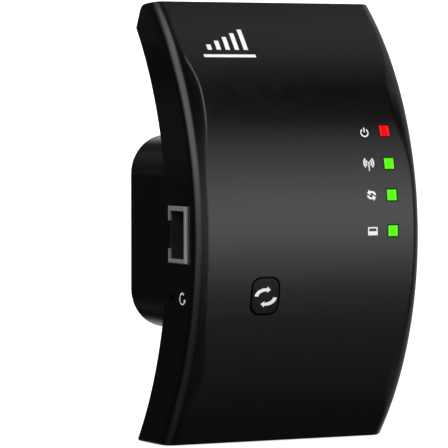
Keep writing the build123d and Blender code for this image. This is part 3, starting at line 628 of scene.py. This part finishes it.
def left_strip(tree, turn, rise):
    """A tall strip to the left, which draws the long rounded edge."""
    height = curve(tree, calc(tree, "DIVIDE", calc(tree, "ADD", rise, 90.0), 180.0), (
        (0.0, 0.05), (0.33, 0.1), (0.44, 0.25), (0.5, 0.5), (0.56, 0.75), (0.62, 1.0),
        (0.85, 1.0), (0.95, 0.3),
    ))
    return calc(tree, "MULTIPLY", band(tree, turn, -112.0, -84.0, -62.0, -34.0), height)


def high_strip(tree, x, tilt):
    """A narrow strip high in front, beside the main box."""
    height = band(tree, tilt, 30.0, 45.0, 60.0, 68.0)
    return calc(tree, "MULTIPLY", band(tree, x, 0.25, 0.31, 0.34, 0.39), height)


def corner_panel(tree, turn, rise):
    """A dim panel behind on the left, above and below level, for the corners of the plug block."""
    away = calc(tree, "ADD", rescale(tree, rise, 8.0, 22.0), rescale(tree, rise, -10.0, -24.0, 0.0, 0.6))
    return calc(tree, "MULTIPLY", band(tree, turn, -178.0, -165.0, -140.0, -118.0), away)


def right_panel(tree, turn, rise):
    """A panel to the right, for the far rim, which reaches round to the back."""
    height = band(tree, rise, -60.0, -15.0, 40.0, 70.0)
    return calc(tree, "MULTIPLY", band(tree, turn, 60.0, 85.0, 160.0, 178.0), height)


def add_soft_boxes():
    """The world as soft panels of light round the object, as a product studio has them."""
    world = bpy.data.worlds.new("studio")
    bpy.context.scene.world = world
    world.use_nodes = True
    tree = world.node_tree
    x, y, z = axes(tree, tree.nodes.new("ShaderNodeTexCoord").outputs["Generated"])
    ahead = calc(tree, "MULTIPLY", y, -1.0)
    tilt = calc(tree, "DEGREES", calc(tree, "ARCTAN2", z, ahead))      # about X, 0 in front
    turn = calc(tree, "DEGREES", calc(tree, "ARCTAN2", x, ahead))      # about Z, 0 in front
    rise = calc(tree, "DEGREES", calc(tree, "ARCSINE", z))

    panels = (
        (main_box(tree, x, tilt), MAIN_LIGHT), (left_strip(tree, turn, rise), LEFT_LIGHT),
        (high_strip(tree, x, tilt), HIGH_LIGHT), (corner_panel(tree, turn, rise), CORNER_LIGHT),
        (right_panel(tree, turn, rise), RIGHT_LIGHT),
    )
    total = ROOM_LIGHT
    for light, strength in panels:
        total = calc(tree, "ADD", total, calc(tree, "MULTIPLY", light, strength))
    background = tree.nodes["Background"]
    background.inputs["Color"].default_value = (1, 1, 1, 1)
    tree.links.new(total, background.inputs["Strength"])


def add_lamps():
    """Two large lamps in front, which light matt surfaces and stay out of the reflections."""
    for name, place in LAMPS.items():
        data = bpy.data.lights.new(name, "AREA")
        data.energy = LAMP_POWER
        data.size = LAMP_SIZE
        lamp = bpy.data.objects.new(name, data)
        lamp.location = place
        lamp.rotation_euler = (-Vector(place)).to_track_quat("-Z", "Y").to_euler()
        lamp.visible_glossy = False
        bpy.context.scene.collection.objects.link(lamp)


def pale(name, glow):
    """The studio's white: matt, with enough light of its own to read as white."""
    material, tree, shader = new_material(name)
    shade = blend(tree, noise(tree, 0.4, 3.0), grey(0.80), grey(0.84))
    feed(tree, shader.inputs["Base Color"], shade)
    shader.inputs["Roughness"].default_value = 0.9
    shader.inputs["Specular IOR Level"].default_value = 0.0
    shader.inputs["Emission Color"].default_value = (1, 1, 1, 1)
    shader.inputs["Emission Strength"].default_value = glow
    return material


def add_stage():
    """A pale floor just under the object and a pale dome behind it, both out of the reflections."""
    floor = bmesh.new()
    bmesh.ops.create_circle(floor, cap_ends=True, segments=96, radius=STAGE_RADIUS)
    dome = bmesh.new()
    bmesh.ops.create_icosphere(dome, subdivisions=4, radius=STAGE_RADIUS)
    floor_height = cad_box[0][2] - FLOOR_GAP
    parts = (("floor", floor, floor_height, FLOOR_GLOW), ("backdrop", dome, 0.0, BACKDROP_GLOW))
    for name, shape, height, glow in parts:
        data = bpy.data.meshes.new(name)
        shape.to_mesh(data)
        shape.free()
        data.materials.append(pale(name + "_white", glow))
        piece = bpy.data.objects.new(name, data)
        piece.location.z = height
        piece.visible_glossy = False
        piece.visible_shadow = False
        piece.visible_diffuse = False
        bpy.context.scene.collection.objects.link(piece)


paint_nodes()
add_prints()
add_camera()
add_soft_boxes()
add_lamps()
add_stage()
bpy.context.scene.view_settings.view_transform = "Standard"
